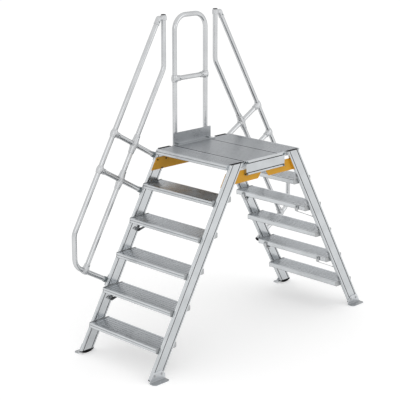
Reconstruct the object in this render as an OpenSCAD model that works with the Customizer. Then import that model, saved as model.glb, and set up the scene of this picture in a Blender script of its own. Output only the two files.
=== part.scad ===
// Crossover platform: two opposed aluminium flights, a planked deck and a guard rail on one side.
// X runs along the way across, Y across the treads, Z up. The origin is on the floor at the centre.

/* [Platform] */
// Height of the walking surface above the floor
platform_height = 1577; // [1400:1:2000]
// Length of the deck from nose to nose
deck_length = 892; // [800:1:1400]
// Clear width between the stringers
clear_width = 800; // [600:10:1000]
// Slope of both flights in degrees
flight_angle = 60; // [55:1:65]
// Treads in each flight
tread_count = 5; // [4:1:5]
// How much lower the first step is than the other steps
first_step_drop = 13; // [0:1:40]

/* [Stringers and side beams] */
// Depth of the stringer and beam section, square to its length
stringer_depth = 115; // [90:1:140]
// Thickness of the stringer and beam section
stringer_thickness = 25; // [20:1:40]
// Distance of the two long grooves from the edges of the section
section_groove_inset = 17; // [10:1:30]
// Width of these grooves
section_groove_width = 4; // [2:0.5:6]
// Depth of these grooves
section_groove_depth = 1.5; // [0.5:0.5:3]
// Gap between a side beam's end and the stringer's back edge, at deck level
beam_gap = 42; // [20:1:80]
// Thickness of the plastic caps on top of the stringers
cap_thickness = 4; // [2:0.5:8]
// How far the caps stand above the deck
cap_rise = 2; // [0:0.5:4]
// Height of the plastic shoes under the stringers
shoe_height = 26; // [18:1:40]
// Rise of the shoe's curved sole at its ends
shoe_curve = 18; // [8:1:20]

/* [Treads and deck] */
// Depth of each tread from nose to back
tread_depth = 218; // [180:1:260]
// Thickness of treads and deck planks
tread_thickness = 40; // [30:1:50]
// How far the noses stand in front of the stringers
nose_overhang = 41; // [20:1:60]
// Radius of the rounded long edges
nose_radius = 9; // [5:0.5:14]
// Smooth band beside each long edge
nose_band = 20; // [14:1:40]
// Spacing of the anti-slip grooves
groove_pitch = 9; // [6:0.5:20]
// Width of one anti-slip groove
groove_width = 3; // [1:0.5:5]
// Depth of one anti-slip groove
groove_depth = 1.5; // [0.5:0.5:3]
// Thickness of the plates that close the tread ends
end_plate_thickness = 4; // [3:0.5:8]
// How far the end plates stand above and below the tread
end_plate_lip = 4; // [0:0.5:10]
// Width of the left deck plank
left_plank_width = 206; // [150:1:300]
// Width of the right deck plank
right_plank_width = 284; // [150:1:350]
// Open joint between two planks
plank_joint = 2; // [1:0.5:6]

/* [Tread braces] */
// Width of a brace's tab on the back of its tread
brace_width = 35; // [25:1:50]
// Thickness of the brace strap
brace_thickness = 4; // [3:0.5:8]
// Stringer's inner face to the brace's tab
brace_tab_inset = 70; // [40:1:150]
// Drop of a brace's tab below its tread
brace_drop = 17; // [5:1:40]
// Slope of a brace's arm from the tread down to the stringer
brace_slope = 25; // [10:1:40]
// Run of the arm's lower edge from the tread to the stringer, along the slope
brace_run = 163; // [100:1:190]
// Length of the fold between the arm and its foot
brace_fold = 36; // [20:1:60]
// Straight part of the arm's lower edge next to the stringer
brace_shoulder = 28; // [10:1:50]
// Length of the foot, square to the stringer
brace_foot = 49; // [20:1:60]

/* [Gussets] */
// Thickness of the coated gusset sheet
gusset_thickness = 4; // [3:0.5:8]
// Depth of the gusset's lower edge below the deck
gusset_bottom = 171; // [130:1:200]
// Depth of its upper edge below the deck
gusset_top = 69; // [50:1:80]
// Distance of its lower inner corner from the centre
gusset_inner_low = 64; // [40:1:150]
// Distance of its upper inner corner from the centre
gusset_inner_high = 21; // [10:1:38]
// Width of the flange that lies on the stringer's back edge
gusset_flange = 20; // [10:1:25]

/* [Guard rails] */
// Outside diameter of all rail tubes
rail_d = 40; // [30:1:45]
// Distance of the handrail from the stringer's front edge, square to the slope
handrail_offset = 493.5; // [400:0.5:600]
// Distance of the mid rail from the stringer's front edge, square to the slope
mid_rail_offset = 242; // [180:1:300]
// How far the uprights stand inward of the stringer's front edge at deck level
upright_inset = 101; // [60:1:130]
// How far the uprights stand above the middle of the top elbows
upright_over = 24; // [22:1:60]
// Place of the handrail's lower bend, down the slope from the deck
handrail_bend_place = 937; // [800:1:1150]
// Length of the handrail's lower upright part between its two corners
lower_upright_length = 271; // [180:1:300]
// Bend radius of the rail tubes, on the centre line
rail_bend = 118; // [60:1:150]
// Places of the two short posts down the slope from the deck
upper_post_place = 60; // [40:1:120]
middle_post_place = 376; // [300:1:500]
// How far the posts run on past the back edge of the stringer
post_tail = 15; // [5:1:40]
// Thickness of the clamps' pad between stringer and post
clamp_pad = 4; // [2:0.5:10]
// Length of the clamps' ears along the tube
clamp_length = 46; // [30:1:80]
// Length of the rail clamps' sleeve in front of their ears and of the stringer
clamp_lead = 14; // [0:1:20]
// Length of the clamp's two ears
clamp_ear_length = 21; // [18:1:30]
// Thickness of the clamp's ears
clamp_ear = 8; // [5:1:15]
// Distance of the clamp's bolts from the ends of the ears
clamp_bolt_inset = 10; // [8:1:14]
// Wall of clamps and rail fittings around a tube
fitting_wall = 5; // [3:0.5:8]
// How much wider a sleeve is than the sockets that branch from it
sleeve_extra = 3; // [2:0.5:6]
// Length of a rail fitting's sleeve on the tube that runs through
sleeve_length = 62; // [50:1:80]
// Reach of a rail fitting's socket from the middle of that tube
socket_reach = 58; // [45:1:80]
// Middle of a rail cross to the mouths of its two sockets
cross_reach = 80; // [65:1:100]
// Thickness of a rail cross at its middle
cross_belly = 62; // [56:1:70]
// Length of the thicker collars at the ends of sleeves and sockets
collar_length = 9; // [5:1:12]
// How far the collars stand proud
collar_rise = 2; // [0.5:0.5:4]
// Length of the top elbow's ring on the upright
elbow_ring = 38; // [30:1:44]
// Clear distance between that ring and the elbow's socket
elbow_neck = 2; // [1:1:30]
// Thickness of the arm between them
elbow_arm = 34; // [20:1:36]
// Depth of the top elbow's socket on the handrail
elbow_socket = 55; // [40:1:70]
// Clearance between tubes and what holds them
fit = 0.2; // [0.1:0.05:0.3]
// Thickness of the plugs in the tube ends
plug_thickness = 6; // [3:0.5:12]

/* [Deck guard] */
// Height of the hoop above the deck
hoop_height = 1100; // [900:10:1200]
// Distance of the hoop's legs from the ends of the side beam
hoop_leg_inset = 49; // [46:1:80]
// Thickness of the clamps' pad between side beam and hoop leg
hoop_pad = 1.5; // [1:0.5:6]
// Length of the straight part of the hoop's top
hoop_flat = 112; // [20:1:160]
// Height of the hoop's crossbar above the deck
crossbar_height = 555; // [400:5:700]
// Height of the toe board
toe_board_height = 100; // [80:5:200]
// Distance of the toe board's ends from the ends of the side beam
toe_board_inset = 6; // [0:1:40]
// Width of the toe board's foot on the deck
toe_board_foot = 62; // [45:1:90]
// Thickness of the toe board
toe_board_thickness = 4; // [3:0.5:6]

/* [Floor brackets] */
// Thickness of the bracket sheet
bracket_thickness = 5; // [4:0.5:8]
// Height of the bracket's upright plate
bracket_height = 80; // [60:1:110]
// Reach of the bracket's foot out from the stringer
bracket_reach = 65; // [60:1:100]
// Length by which the upright plate reaches in past the shoe
bracket_run = 24; // [10:1:50]
// Cut-off corners of the bracket
bracket_chamfer = 37; // [15:1:40]
// Distance of the floor bolt from the stringer's outer face
floor_bolt_out = 38; // [30:1:50]
// Height of the two bolts through the stringer's foot
bracket_bolt_z = 52; // [45:1:60]
// Distance of these bolts from the stringer's edges, level
bracket_bolt_inset = 30; // [24:1:40]
// Diameter of the floor bolt hole
floor_bolt_d = 13; // [10:1:18]
// Diameter of the smaller bolt holes
bolt_d = 9; // [6:1:11]

/* [Hidden] */
$fn = 48;

deck_z = platform_height;
rise = (platform_height + first_step_drop) / (tread_count + 1);
top_x = deck_length / 2 - nose_overhang;          // front edge of the stringers at deck level
cut_length = stringer_depth / sin(flight_angle);  // level cut through the sloping section
inner_y = clear_width / 2;
outer_y = inner_y + stringer_thickness;
stringer_top = deck_z + cap_rise - cap_thickness;
plate_y = inner_y - end_plate_thickness;
rail_y = outer_y + clamp_pad + fit + rail_d / 2;
hoop_y = outer_y + hoop_pad + fit + rail_d / 2;
beam_half = top_x - cut_length - beam_gap;
hoop_leg_x = beam_half - hoop_leg_inset;
toe_board_half = beam_half - toe_board_inset;
fitting_d = rail_d + 2 * fitting_wall;
bore_d = rail_d + 2 * fit;
socket_floor = bore_d / 2 + 1;                    // from the middle of the through tube
branch_start = socket_floor + fit;
bend_swell = 0.6;                                 // how much thicker a bend is than its tube
bend_lap = 1;                                     // how far the straight parts run into a bend

aluminium = [0.80, 0.81, 0.82];
tread_grey = [0.66, 0.67, 0.69];
tube_grey = [0.74, 0.75, 0.76];
gusset_yellow = [0.82, 0.59, 0.19];
plastic_black = [0.08, 0.08, 0.08];

// Distance of the stringers' front edge from the centre at a height.
function front_x(z) = top_x + (deck_z - z) / tan(flight_angle);

// Point of the left flight's side view, down the slope and out from the front edge, as [x, z].
function slope_point(down, out) = [
  -top_x - down * cos(flight_angle) - out * sin(flight_angle),
  deck_z - down * sin(flight_angle) + out * cos(flight_angle)
];

// Place down the slope at which a line with this offset reaches a distance x from the centre.
function down_at_x(x, out) = (x - top_x - out * sin(flight_angle)) / cos(flight_angle);

upright_x = top_x - upright_inset;
elbow_reach = fitting_d + elbow_neck;             // from the upright to the handrail's upper end
handrail_top = slope_point(down_at_x(upright_x + elbow_reach, handrail_offset), handrail_offset);
mid_rail_corner = slope_point(down_at_x(upright_x, mid_rail_offset), mid_rail_offset);
upright_top = [-upright_x, handrail_top.y + upright_over];
// The handrail turns upright at the first corner and turns in at the second, as the lowest post.
handrail_corner = slope_point(handrail_bend_place, handrail_offset);
lower_corner = handrail_corner - [0, lower_upright_length];
lower_post_place = (deck_z - lower_corner.y) * sin(flight_angle)
  - (lower_corner.x + top_x) * cos(flight_angle);
post_end_out = -stringer_depth - post_tail;
down_slope = [-cos(flight_angle), -sin(flight_angle)];
off_slope = [-sin(flight_angle), cos(flight_angle)];

// ---- Shared shapes ----

// Mirrors the left flight's pieces to the right, or leaves them.
module on_flight(side) {
  mirror([side == "left" ? 0 : 1, 0, 0]) children();
}

// Mirrors the far side's pieces to the near side, or leaves them.
module on_side(side) {
  mirror([0, side == "far" ? 0 : 1, 0]) children();
}

// Extrudes a side view, drawn as x and z, between two places across the platform.
module across(y_from, y_to) {
  translate([0, y_to, 0]) rotate([90, 0, 0]) linear_extrude(y_to - y_from) children();
}

// Turns the z axis to run from one point of the side view towards another.
module aim(from, to) {
  d = to - from;
  translate([from.x, 0, from.y]) rotate([0, atan2(d.x, d.y), 0]) children();
}

function unit(v) = v / norm(v);

// Straight tube between two points of the side view.
module straight_tube(a, b) {
  aim(a, b) cylinder(d = rail_d, h = norm(b - a));
}

// Half the turn of a path at its inner point i, in degrees.
function half_turn(path, i) = acos(unit(path[i] - path[i - 1]) * unit(path[i + 1] - path[i])) / 2;

// Length that the bend at point i takes off the straight parts on both sides of it.
function bend_cut(path, i, r) =
  i == 0 || i == len(path) - 1 ? 0 : r * tan(half_turn(path, i)) - bend_lap;

// Tube along a path of the side view with a round bend at each inner point. The bends are a hair
// thicker than the straight parts, which end just inside them.
module bent_tube(path, r) {
  for (i = [1 : len(path) - 1]) {
    dir = unit(path[i] - path[i - 1]);
    straight_tube(path[i - 1] + dir * bend_cut(path, i - 1, r), path[i] - dir * bend_cut(path, i, r));
  }
  for (i = [1 : len(path) - 2]) {
    half = half_turn(path, i);
    inward = unit(unit(path[i - 1] - path[i]) + unit(path[i + 1] - path[i]));
    centre = path[i] + inward * r / cos(half);
    translate([centre.x, 0, centre.y]) rotate([90, 0, 0]) rotate(atan2(-inward.y, -inward.x) - half)
      rotate_extrude(angle = 2 * half, $fn = 96) translate([r, 0]) circle(d = rail_d + bend_swell);
  }
}

// Side view of a level bar with rounded long edges; its top is at 0 and it runs to +x.
module bar_outline(width) {
  translate([nose_radius, -tread_thickness])
    square([width - 2 * nose_radius, tread_thickness]);
  translate([0, nose_radius - tread_thickness])
    square([width, tread_thickness - 2 * nose_radius]);
  for (x = [nose_radius, width - nose_radius], z = [-nose_radius, nose_radius - tread_thickness])
    translate([x, z]) circle(r = nose_radius);
}

// The same with anti-slip grooves in its top.
module grooved_outline(width) {
  grooved = width - 2 * nose_band;
  count = floor(grooved / groove_pitch);
  first = (width - count * groove_pitch + groove_pitch - groove_width) / 2;
  difference() {
    bar_outline(width);
    for (i = [0 : count - 1])
      translate([first + i * groove_pitch, -groove_depth]) square([groove_width, groove_depth + 1]);
  }
}

// ---- Stringers, beams and feet ----

// Side view of the left stringer between two heights and two depths behind its front edge.
module stringer_strip(low, high, from, to) {
  a = from / sin(flight_angle);
  b = to / sin(flight_angle);
  polygon([
    [a - front_x(high), high], [b - front_x(high), high],
    [b - front_x(low), low], [a - front_x(low), low]
  ]);
}

module stringer(flight, side) {
  color(aluminium) on_flight(flight) on_side(side) difference() {
    across(inner_y, outer_y) stringer_strip(shoe_height, stringer_top, 0, stringer_depth);
    for (from = [section_groove_inset, stringer_depth - section_groove_inset - section_groove_width])
      for (y = [inner_y - 1, outer_y - section_groove_depth])
        across(y, y + section_groove_depth + 1)
          stringer_strip(shoe_height - 1, stringer_top + 1, from, from + section_groove_width);
  }
}

module side_beam(side) {
  color(aluminium) on_side(side) difference() {
    translate([-beam_half, inner_y, deck_z - stringer_depth])
      cube([2 * beam_half, stringer_thickness, stringer_depth]);
    for (down = [section_groove_inset + section_groove_width, stringer_depth - section_groove_inset])
      for (y = [inner_y - 1, outer_y - section_groove_depth])
        translate([-beam_half - 1, y, deck_z - down])
          cube([2 * beam_half + 2, section_groove_depth + 1, section_groove_width]);
  }
}

module stringer_top_caps() {
  color(plastic_black)
    for (flight = ["left", "right"], side = ["near", "far"]) on_flight(flight) on_side(side)
      translate([-front_x(stringer_top), inner_y, stringer_top])
        cube([cut_length, stringer_thickness, cap_thickness]);
}

module stringer_shoes() {
  sole_r = (pow(cut_length / 2, 2) + pow(shoe_curve, 2)) / (2 * shoe_curve);
  color(plastic_black)
    for (flight = ["left", "right"], side = ["near", "far"]) on_flight(flight) on_side(side)
      translate([cut_length / 2 - front_x(shoe_height), 0, 0]) intersection() {
        translate([-cut_length / 2, inner_y, 0]) cube([cut_length, stringer_thickness, shoe_height]);
        translate([0, outer_y + 1, sole_r]) rotate([90, 0, 0])
          cylinder(r = sole_r, h = stringer_thickness + 2, $fn = 180);
      }
}

// One bracket of the far left stringer: upright plate on its outer face and a foot on the floor.
module floor_bracket() {
  in_x = bracket_run + cut_length - front_x(shoe_height);
  out_x = -front_x(bracket_thickness);
  foot_x = [out_x, in_x];
  difference() {
    union() {
      across(outer_y, outer_y + bracket_thickness) polygon([
        [-front_x(0), 0], [-front_x(bracket_height), bracket_height],
        [in_x - bracket_chamfer, bracket_height], [in_x, bracket_height - bracket_chamfer], [in_x, 0]
      ]);
      linear_extrude(bracket_thickness) polygon([
        [foot_x[0], outer_y], [foot_x[0], outer_y + bracket_reach - bracket_chamfer / 2],
        [foot_x[0] + bracket_chamfer / 2, outer_y + bracket_reach],
        [foot_x[1] - bracket_chamfer / 2, outer_y + bracket_reach],
        [foot_x[1], outer_y + bracket_reach - bracket_chamfer / 2], [foot_x[1], outer_y]
      ]);
    }
    translate([(out_x + in_x) / 2, outer_y + floor_bolt_out, -1])
      cylinder(d = floor_bolt_d, h = bracket_thickness + 2);
    for (x = [bracket_bolt_inset, cut_length - bracket_bolt_inset])
      translate([x - front_x(bracket_bolt_z), outer_y - 1, bracket_bolt_z]) rotate([-90, 0, 0])
        cylinder(d = bolt_d, h = bracket_thickness + 2);
  }
}

module floor_brackets() {
  color(aluminium)
    for (flight = ["left", "right"], side = ["near", "far"]) on_flight(flight) on_side(side)
      floor_bracket();
}

// ---- Treads, deck and gussets ----

function tread_z(n) = deck_z - (tread_count + 1 - n) * rise;

module tread(flight, n) {
  color(tread_grey) on_flight(flight)
    translate([-front_x(tread_z(n)) - nose_overhang, 0, tread_z(n)])
      across(-plate_y, plate_y) grooved_outline(tread_depth);
}

module tread_end_plates(flight) {
  color(aluminium) on_flight(flight)
    for (n = [1 : tread_count], side = ["near", "far"]) on_side(side)
      translate([-front_x(tread_z(n)) - nose_overhang, 0, tread_z(n) + end_plate_lip])
        across(plate_y, inner_y) end_plate_outline();
}

// Side view of an end plate: the tread's own outline, taller by the lip above and below.
module end_plate_outline() {
  height = tread_thickness + 2 * end_plate_lip;
  r = nose_radius + end_plate_lip / 2;
  translate([r, -height]) square([tread_depth - 2 * r, height]);
  translate([0, r - height]) square([tread_depth, height - 2 * r]);
  for (x = [r, tread_depth - r], z = [-r, r - height]) translate([x, z]) circle(r = r);
}

// Bent strap of the far side under tread n: a tab on the tread's back, an arm that slopes down and
// out from it, and a foot on the stringer's inner face.
module tread_brace(n) {
  t = brace_thickness;
  back_x = tread_depth - nose_overhang - front_x(tread_z(n));
  low = tread_z(n) - tread_thickness - brace_drop;
  tab_y = inner_y - brace_tab_inset - brace_width;
  shoulder_y = inner_y - brace_shoulder;
  near_run = brace_run - brace_fold;
  fold = [for (s = [brace_run, near_run]) [back_x + t - s * cos(brace_slope), low - s * sin(brace_slope)]];
  lean = brace_foot * [-sin(flight_angle), cos(flight_angle)];
  translate([back_x, tab_y, low]) cube([t, brace_width, tread_z(n) - nose_radius - low]);
  translate([back_x + t, 0, low]) rotate([0, -brace_slope, 0]) linear_extrude(t) polygon([
    [0, tab_y], [0, tab_y + brace_width], [-near_run, inner_y], [-brace_run, inner_y],
    [-brace_run, shoulder_y], [-brace_run / 2, (shoulder_y + tab_y + brace_width) / 2]
  ]);
  across(inner_y - t, inner_y) polygon([fold[0], fold[1], fold[1] + lean, fold[0] + lean]);
}

module tread_braces(flight) {
  color(aluminium) on_flight(flight)
    for (n = [2, 4], side = ["near", "far"]) on_side(side) tread_brace(n);
}

// Deck plank between two distances from the deck's left nose.
module deck_plank(from, to) {
  color(tread_grey) translate([from - deck_length / 2, 0, deck_z])
    across(-inner_y, inner_y) grooved_outline(to - from);
}

// Sheet gusset of the left flight on the far side, with the flange on the stringer's back edge.
module gusset() {
  low = deck_z - gusset_bottom;
  high = deck_z - gusset_top;
  across(inner_y - gusset_thickness, inner_y) polygon([
    [-front_x(high), high], [-gusset_inner_high, high],
    [-gusset_inner_high, deck_z - stringer_depth], [-gusset_inner_low, low], [-front_x(low), low]
  ]);
  across(inner_y - gusset_thickness, inner_y + gusset_flange)
    stringer_strip(low, high, stringer_depth, stringer_depth + gusset_thickness);
}

module gussets(side) {
  color(gusset_yellow) on_side(side) for (flight = ["left", "right"]) on_flight(flight) gusset();
}

// ---- Guard rails on the far side ----

module handrail(flight) {
  color(tube_grey) on_flight(flight) translate([0, rail_y, 0]) bent_tube(
    [handrail_top, handrail_corner, lower_corner, slope_point(lower_post_place, post_end_out)],
    rail_bend);
}

module mid_rail(flight) {
  color(tube_grey) on_flight(flight) translate([0, rail_y, 0]) {
    bent_tube([upright_top, mid_rail_corner, slope_point(upper_post_place - branch_start, mid_rail_offset)],
              rail_bend);
    for (bay = [[upper_post_place, middle_post_place], [middle_post_place, lower_post_place]])
      straight_tube(slope_point(bay[0] + branch_start, mid_rail_offset),
                    slope_point(bay[1] - branch_start, mid_rail_offset));
  }
}

module rail_posts(flight) {
  color(tube_grey) on_flight(flight) translate([0, rail_y, 0])
    for (place = [upper_post_place, middle_post_place])
      straight_tube(slope_point(place, post_end_out),
                    slope_point(place, handrail_offset - branch_start));
}

// Sleeve or socket along z with a thicker collar at each place that is listed.
module sleeve(d, length, collars) {
  cylinder(d = d, h = length);
  for (z = collars) translate([0, 0, z]) cylinder(d = d + 2 * collar_rise, h = collar_length);
}

// Rail fitting at a point, with a sleeve along one direction and sockets towards others.
module rail_fitting(at, along, sockets) {
  difference() {
    union() {
      aim(at - along * sleeve_length / 2, at + along)
        sleeve(fitting_d + sleeve_extra, sleeve_length, [0, sleeve_length - collar_length]);
      for (dir = sockets)
        aim(at, at + dir) sleeve(fitting_d, socket_reach, [socket_reach - collar_length]);
    }
    aim(at - along * sleeve_length, at + along) cylinder(d = bore_d, h = 2 * sleeve_length);
    for (dir = sockets) aim(at + dir * socket_floor, at + 2 * dir * socket_floor)
      cylinder(d = bore_d, h = socket_reach);
  }
}

// Cross that a post runs through, with tapered sockets for the mid rail on both sides.
module rail_cross(at) {
  difference() {
    union() {
      aim(at - off_slope * sleeve_length / 2, at + off_slope)
        cylinder(d = fitting_d + sleeve_extra, h = sleeve_length);
      for (dir = [-down_slope, down_slope])
        aim(at, at + dir) cylinder(d1 = cross_belly, d2 = fitting_d, h = cross_reach);
    }
    aim(at - off_slope * sleeve_length, at + off_slope) cylinder(d = bore_d, h = 2 * sleeve_length);
    for (dir = [-down_slope, down_slope]) aim(at + dir * socket_floor, at + 2 * dir * socket_floor)
      cylinder(d = bore_d, h = cross_reach);
  }
}

// Elbow that joins the upper end of the handrail to the upright beside it.
module top_elbow() {
  ring = [-upright_x, handrail_top.y];
  difference() {
    union() {
      aim(ring - [0, elbow_ring / 2], ring + [0, 1]) sleeve(fitting_d + sleeve_extra, elbow_ring, []);
      aim(handrail_top - down_slope * fitting_wall, handrail_top)
        sleeve(fitting_d, fitting_wall + elbow_socket, [fitting_wall + elbow_socket - collar_length]);
      aim(ring, handrail_top) cylinder(d = elbow_arm, h = elbow_reach);
    }
    aim(ring - [0, elbow_ring], ring + [0, 1]) cylinder(d = bore_d, h = 2 * elbow_ring);
    aim(handrail_top - down_slope * fit, handrail_top + down_slope)
      cylinder(d = bore_d, h = elbow_socket + 1);
  }
}

module rail_fittings(flight) {
  color(aluminium) on_flight(flight) translate([0, rail_y, 0]) {
    top_elbow();
    for (place = [upper_post_place, middle_post_place]) {
      rail_fitting(slope_point(place, handrail_offset), down_slope, [-off_slope]);
      rail_cross(slope_point(place, mid_rail_offset));
    }
    rail_fitting(slope_point(lower_post_place, mid_rail_offset), off_slope, [-down_slope]);
  }
}

// Saddle clamp on a flat face at y = 0; the tube runs along z at a height above the face, in a sleeve
// that may lead past the ears.
module saddle_clamp(tube_height, lead = 0) {
  width = fitting_d + 2 * clamp_ear_length;
  block = rail_d + fitting_wall;
  difference() {
    union() {
      translate([-width / 2, 0, 0]) cube([width, clamp_ear, clamp_length]);
      translate([0, tube_height, 0]) cylinder(d = fitting_d, h = clamp_length + lead);
      translate([-block / 2, 0, 0]) cube([block, tube_height, clamp_length]);
    }
    translate([0, tube_height, -1]) cylinder(d = bore_d, h = clamp_length + lead + 2);
    translate([-fitting_d, -fitting_d, -1]) cube([2 * fitting_d, fitting_d, clamp_length + lead + 2]);
    for (x = [-1, 1] * (width / 2 - clamp_bolt_inset))
      translate([x, -1, clamp_length / 2]) rotate([-90, 0, 0]) cylinder(d = bolt_d, h = clamp_ear + 2);
  }
}

module rail_clamps(flight) {
  color(aluminium) on_flight(flight) translate([0, outer_y, 0])
    for (place = [upper_post_place, middle_post_place, lower_post_place])
      aim(slope_point(place, -clamp_length), slope_point(place, 0))
        saddle_clamp(rail_y - outer_y, clamp_lead);
}

module hoop() {
  top = deck_z + hoop_height - rail_d / 2;
  low = deck_z - stringer_depth - post_tail;
  color(tube_grey) translate([0, hoop_y, 0]) bent_tube(
    [[-hoop_leg_x, low], [-hoop_leg_x, top], [hoop_leg_x, top], [hoop_leg_x, low]],
    hoop_leg_x - hoop_flat / 2);
}

module hoop_crossbar() {
  end_x = hoop_leg_x - branch_start;
  color(tube_grey) translate([0, hoop_y, 0])
    straight_tube([-end_x, deck_z + crossbar_height], [end_x, deck_z + crossbar_height]);
}

module hoop_tees() {
  color(aluminium) translate([0, hoop_y, 0]) for (s = [-1, 1])
    rail_fitting([s * hoop_leg_x, deck_z + crossbar_height], [0, 1], [[-s, 0]]);
}

module hoop_clamps() {
  color(aluminium) translate([0, outer_y, 0]) for (s = [-1, 1])
    translate([s * hoop_leg_x, 0, deck_z - stringer_depth / 2 - clamp_length / 2])
      saddle_clamp(hoop_y - outer_y);
}

module toe_board() {
  color(aluminium) translate([-toe_board_half, 0, deck_z]) {
    translate([0, outer_y - toe_board_thickness, 0])
      cube([2 * toe_board_half, toe_board_thickness, toe_board_height]);
    translate([0, outer_y - toe_board_foot, 0])
      cube([2 * toe_board_half, toe_board_foot, toe_board_thickness]);
  }
}

module plug(at, towards) {
  aim(at, towards) translate([0, 0, fit]) cylinder(d = rail_d, h = plug_thickness);
}

module tube_plugs() {
  low = deck_z - stringer_depth - post_tail;
  color(plastic_black) {
    for (flight = ["left", "right"]) on_flight(flight) translate([0, rail_y, 0]) {
      plug(upright_top, upright_top + [0, 1]);
      for (place = [upper_post_place, middle_post_place, lower_post_place])
        plug(slope_point(place, post_end_out), slope_point(place, post_end_out - 1));
    }
    translate([0, hoop_y, 0]) for (s = [-1, 1])
      plug([s * hoop_leg_x, low], [s * hoop_leg_x, low - 1]);
  }
}

stringer("left", "near");  // near_left_stringer
stringer("left", "far");  // far_left_stringer
stringer("right", "near");  // near_right_stringer
stringer("right", "far");  // far_right_stringer
tread("left", 1);  // left_tread_1
tread("left", 2);  // left_tread_2
tread("left", 3);  // left_tread_3
tread("left", 4);  // left_tread_4
tread("left", 5);  // left_tread_5
tread("right", 1);  // right_tread_1
tread("right", 2);  // right_tread_2
tread("right", 3);  // right_tread_3
tread("right", 4);  // right_tread_4
tread("right", 5);  // right_tread_5
tread_end_plates("left");  // left_tread_end_plates
tread_end_plates("right");  // right_tread_end_plates
tread_braces("left");  // left_tread_braces
tread_braces("right");  // right_tread_braces
deck_plank(0, left_plank_width);  // left_deck_plank
deck_plank(left_plank_width + plank_joint, deck_length - right_plank_width - plank_joint);  // middle_deck_plank
deck_plank(deck_length - right_plank_width, deck_length);  // right_deck_plank
side_beam("near");  // near_side_beam
side_beam("far");  // far_side_beam
gussets("near");  // near_gussets
gussets("far");  // far_gussets
stringer_top_caps();
stringer_shoes();
floor_brackets();
toe_board();
hoop();
hoop_crossbar();
hoop_tees();
hoop_clamps();
handrail("left");  // left_handrail
mid_rail("left");  // left_mid_rail
rail_posts("left");  // left_rail_posts
rail_fittings("left");  // left_rail_fittings
rail_clamps("left");  // left_rail_clamps
handrail("right");  // right_handrail
mid_rail("right");  // right_mid_rail
rail_posts("right");  // right_rail_posts
rail_fittings("right");  // right_rail_fittings
rail_clamps("right");  // right_rail_clamps
tube_plugs();
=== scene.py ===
import math
import bmesh
import bpy
from mathutils import Matrix, Vector


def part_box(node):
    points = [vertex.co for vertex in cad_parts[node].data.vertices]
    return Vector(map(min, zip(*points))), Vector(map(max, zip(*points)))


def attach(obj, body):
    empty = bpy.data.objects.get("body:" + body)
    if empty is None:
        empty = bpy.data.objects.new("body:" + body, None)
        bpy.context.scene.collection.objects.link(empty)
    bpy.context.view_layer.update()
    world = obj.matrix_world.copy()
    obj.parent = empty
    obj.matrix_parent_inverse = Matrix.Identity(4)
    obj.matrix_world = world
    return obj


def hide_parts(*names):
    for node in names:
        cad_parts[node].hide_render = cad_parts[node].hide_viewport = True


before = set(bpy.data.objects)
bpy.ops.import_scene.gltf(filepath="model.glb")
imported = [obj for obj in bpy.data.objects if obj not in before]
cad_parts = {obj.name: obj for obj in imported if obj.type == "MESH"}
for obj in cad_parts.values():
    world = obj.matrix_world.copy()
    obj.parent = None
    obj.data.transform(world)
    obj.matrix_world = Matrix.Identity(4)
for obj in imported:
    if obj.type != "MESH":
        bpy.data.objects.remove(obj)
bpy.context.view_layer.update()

# ---- Places and sizes, in metres ----
MM = 0.001
slope = math.radians(60)
sin_s, cos_s, tan_s = math.sin(slope), math.cos(slope), math.tan(slope)

deck_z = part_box("middle_deck_plank")[1].z
deck_half = -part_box("left_deck_plank")[0].x
inner_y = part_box("middle_deck_plank")[1].y
outer_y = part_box("far_side_beam")[1].y
plate_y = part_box("left_tread_1")[1].y
beam_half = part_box("far_side_beam")[1].x
stringer_depth = deck_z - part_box("far_side_beam")[0].z
stringer_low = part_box("far_left_stringer")[0].z
stringer_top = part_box("far_left_stringer")[1].z
cap_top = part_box("stringer_top_caps")[1].z
nose_overhang = 41 * MM
top_x = deck_half - nose_overhang
tread_thickness = 40 * MM
tread_depth = 218 * MM
rail_r = 20 * MM
rail_y = sum(v.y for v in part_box("left_rail_posts")) / 2
hoop_y = sum(v.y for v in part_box("hoop_crossbar")) / 2
post_tail = 15 * MM
handrail_out = 493.5 * MM
mid_rail_out = 242 * MM


def front_x(z):
    """Distance of the stringers' front edge from the centre at a height."""
    return top_x + (deck_z - z) / tan_s


def on_slope(down, out, y=0.0):
    """Point of the left flight, down the slope from the deck and out from the front edge."""
    return Vector((-top_x - down * cos_s - out * sin_s, y, deck_z - down * sin_s + out * cos_s))


down_slope = Vector((-cos_s, 0, -sin_s))
off_slope = Vector((-sin_s, 0, cos_s))
along_y = Vector((0, 1, 0))

# ---- Camera, light and floor ----


def place_camera():
    """Long lens off the near left corner, above the handrails, aimed at the platform."""
    data = bpy.data.cameras.new("camera")
    data.lens = 108.22
    data.sensor_width = 36
    data.clip_end = 300
    cam = bpy.data.objects.new("camera", data)
    bpy.context.scene.collection.objects.link(cam)
    cam.location = (-7.0861, -6.7294, 3.8317)
    cam.rotation_euler = Vector((0.6829, 0.6802, -0.2663)).to_track_quat("-Z", "Y").to_euler()
    bpy.context.scene.camera = cam


def area_lamp(name, place, size, watts):
    """Square soft light aimed at the middle of the platform."""
    data = bpy.data.lights.new(name, "AREA")
    data.shape = "SQUARE"
    data.size = size
    data.energy = watts
    lamp = bpy.data.objects.new(name, data)
    bpy.context.scene.collection.objects.link(lamp)
    lamp.location = place
    lamp.rotation_euler = (Vector((0, 0, 1.0)) - Vector(place)).to_track_quat("-Z", "Y").to_euler()


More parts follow.
